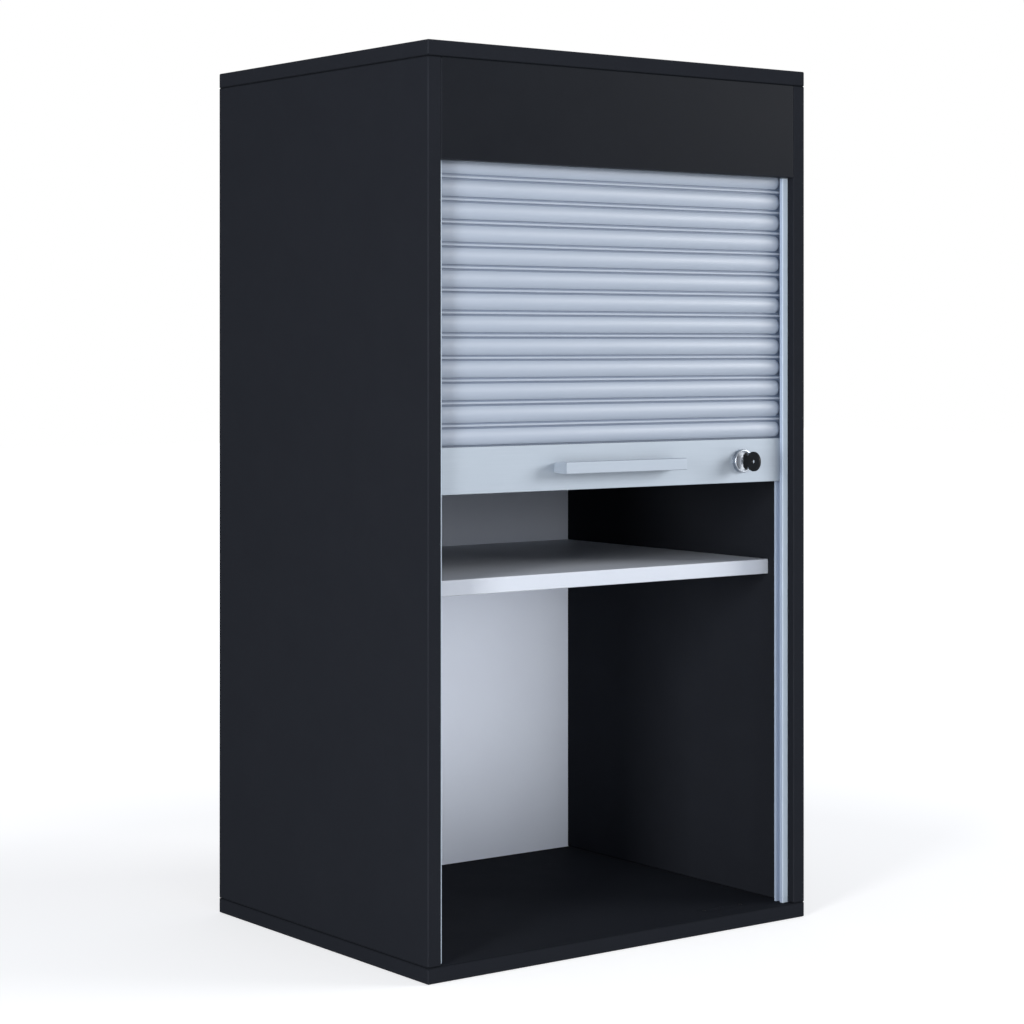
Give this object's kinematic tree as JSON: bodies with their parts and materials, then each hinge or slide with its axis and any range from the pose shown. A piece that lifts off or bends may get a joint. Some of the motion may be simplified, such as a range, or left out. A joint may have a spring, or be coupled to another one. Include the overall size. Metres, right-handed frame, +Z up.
{
  "type": "tambour office cabinet",
  "caption": "Upright office cabinet of black boards with a silver slatted tambour shutter half open in side rails, a bar handle, a key lock and a shelf.",
  "frame": {"origin": "on the floor, at the middle of the carcass footprint", "axes": "+Z up, +X to the cabinet's right as seen from the front, +Y from the open front to the back"},
  "size_m": [0.5, 0.4157, 0.92],
  "materials": {
    "black_board": "matt black melamine-faced board, fine pearl texture",
    "pale_board": "pale grey melamine-faced board",
    "back_sheet": "pale grey lacquered hardboard",
    "dowel_wood": "plain beech",
    "silver_rail": "satin silver",
    "black_plastic": "matt black moulding",
    "silver_slat": "satin silver-grey plastic",
    "silver_bar": "satin silver",
    "silver_handle": "satin silver",
    "lock_chrome": "polished chrome",
    "zinc_steel": "bright zinc plate",
    "key_plastic": "black moulding"
  },
  "bodies": {
    "cabinet": {"top_panel": "black_board", "bottom_panel": "black_board", "left_side_panel": "black_board", "right_side_panel": "black_board", "back_panel": "back_sheet", "back_screws": "zinc_steel", "carcass_dowels": "dowel_wood", "fascia_panel": "black_board", "fascia_dowels": "dowel_wood", "shelf": "pale_board", "shelf_pins": "zinc_steel", "left_guide_rail": "silver_rail", "right_guide_rail": "silver_rail", "left_track_plate": "black_plastic", "right_track_plate": "black_plastic", "track_screws": "zinc_steel", "storage_floor": "back_sheet", "floor_screws": "zinc_steel", "strike_plate": "zinc_steel", "strike_screws": "zinc_steel", "slat_14": "silver_slat", "slat_15": "silver_slat", "slats_on_front_bend": "silver_slat", "slats_on_top_run": "silver_slat", "slats_on_rear_bend": "silver_slat"},
    "shutter": {"bottom_bar": "silver_bar", "left_bar_glide": "black_plastic", "right_bar_glide": "black_plastic", "handle": "silver_handle", "handle_screws": "zinc_steel", "lock_ring": "lock_chrome", "lock_housing": "lock_chrome", "lock_nut": "zinc_steel", "slat_01": "silver_slat"},
    "lock_barrel": {"lock_plug": "lock_chrome", "lock_hook": "zinc_steel", "hook_screw": "zinc_steel"},
    "key": {"key_blade": "zinc_steel", "key_bow": "key_plastic"},
    "slat_02": {"slat_02": "silver_slat"},
    "slat_03": {"slat_03": "silver_slat"},
    "slat_04": {"slat_04": "silver_slat"},
    "slat_05": {"slat_05": "silver_slat"},
    "slat_06": {"slat_06": "silver_slat"},
    "slat_07": {"slat_07": "silver_slat"},
    "slat_08": {"slat_08": "silver_slat"},
    "slat_09": {"slat_09": "silver_slat"},
    "slat_10": {"slat_10": "silver_slat"},
    "slat_11": {"slat_11": "silver_slat"},
    "slat_12": {"slat_12": "silver_slat"},
    "slat_13": {"slat_13": "silver_slat"}
  },
  "joints": [
    {"name": "shutter_slide", "type": "slide", "parent": "cabinet", "child": "shutter", "axis": [0, 0, 1], "range_m": [-0.4575, 0.2823], "deforming": ["slat_01", "slat_02", "slat_03", "slat_04", "slat_05", "slat_06", "slat_07", "slat_08", "slat_09", "slat_10", "slat_11", "slat_12", "slat_13"]},
    {"name": "slat_02_slide", "type": "slide", "parent": "cabinet", "child": "slat_02", "axis": [0, 0, 1], "range_m": [-0.42331, 0.26158]},
    {"name": "slat_03_slide", "type": "slide", "parent": "cabinet", "child": "slat_03", "axis": [0, 0, 1], "range_m": [-0.38812, 0.23987]},
    {"name": "slat_04_slide", "type": "slide", "parent": "cabinet", "child": "slat_04", "axis": [0, 0, 1], "range_m": [-0.35292, 0.21815]},
    {"name": "slat_05_slide", "type": "slide", "parent": "cabinet", "child": "slat_05", "axis": [0, 0, 1], "range_m": [-0.31773, 0.19644]},
    {"name": "slat_06_slide", "type": "slide", "parent": "cabinet", "child": "slat_06", "axis": [0, 0, 1], "range_m": [-0.28254, 0.17472]},
    {"name": "slat_07_slide", "type": "slide", "parent": "cabinet", "child": "slat_07", "axis": [0, 0, 1], "range_m": [-0.24735, 0.15301]},
    {"name": "slat_08_slide", "type": "slide", "parent": "cabinet", "child": "slat_08", "axis": [0, 0, 1], "range_m": [-0.21215, 0.13129]},
    {"name": "slat_09_slide", "type": "slide", "parent": "cabinet", "child": "slat_09", "axis": [0, 0, 1], "range_m": [-0.17696, 0.10958]},
    {"name": "slat_10_slide", "type": "slide", "parent": "cabinet", "child": "slat_10", "axis": [0, 0, 1], "range_m": [-0.14177, 0.08786]},
    {"name": "slat_11_slide", "type": "slide", "parent": "cabinet", "child": "slat_11", "axis": [0, 0, 1], "range_m": [-0.10658, 0.06615]},
    {"name": "slat_12_slide", "type": "slide", "parent": "cabinet", "child": "slat_12", "axis": [0, 0, 1], "range_m": [-0.07138, 0.04443]},
    {"name": "slat_13_slide", "type": "slide", "parent": "cabinet", "child": "slat_13", "axis": [0, 0, 1], "range_m": [-0.03619, 0.02272]},
    {"name": "key_turn", "type": "hinge", "parent": "shutter", "child": "lock_barrel", "pos_m": [0.171, -0.1855, 0.49785], "axis": [0, -1, 0], "range_deg": [0, 90]},
    {"name": "key_withdraw", "type": "slide", "parent": "lock_barrel", "child": "key", "axis": [0, -1, 0], "range_m": [0, 0.03]}
  ],
  "couplings": [
    {"joint": "slat_02_slide", "follows": "shutter_slide", "ratio": 0.92308},
    {"joint": "slat_03_slide", "follows": "shutter_slide", "ratio": 0.84615},
    {"joint": "slat_04_slide", "follows": "shutter_slide", "ratio": 0.76923},
    {"joint": "slat_05_slide", "follows": "shutter_slide", "ratio": 0.69231},
    {"joint": "slat_06_slide", "follows": "shutter_slide", "ratio": 0.61538},
    {"joint": "slat_07_slide", "follows": "shutter_slide", "ratio": 0.53846},
    {"joint": "slat_08_slide", "follows": "shutter_slide", "ratio": 0.46154},
    {"joint": "slat_09_slide", "follows": "shutter_slide", "ratio": 0.38461},
    {"joint": "slat_10_slide", "follows": "shutter_slide", "ratio": 0.30769},
    {"joint": "slat_11_slide", "follows": "shutter_slide", "ratio": 0.23077},
    {"joint": "slat_12_slide", "follows": "shutter_slide", "ratio": 0.15385},
    {"joint": "slat_13_slide", "follows": "shutter_slide", "ratio": 0.076923}
  ]
}
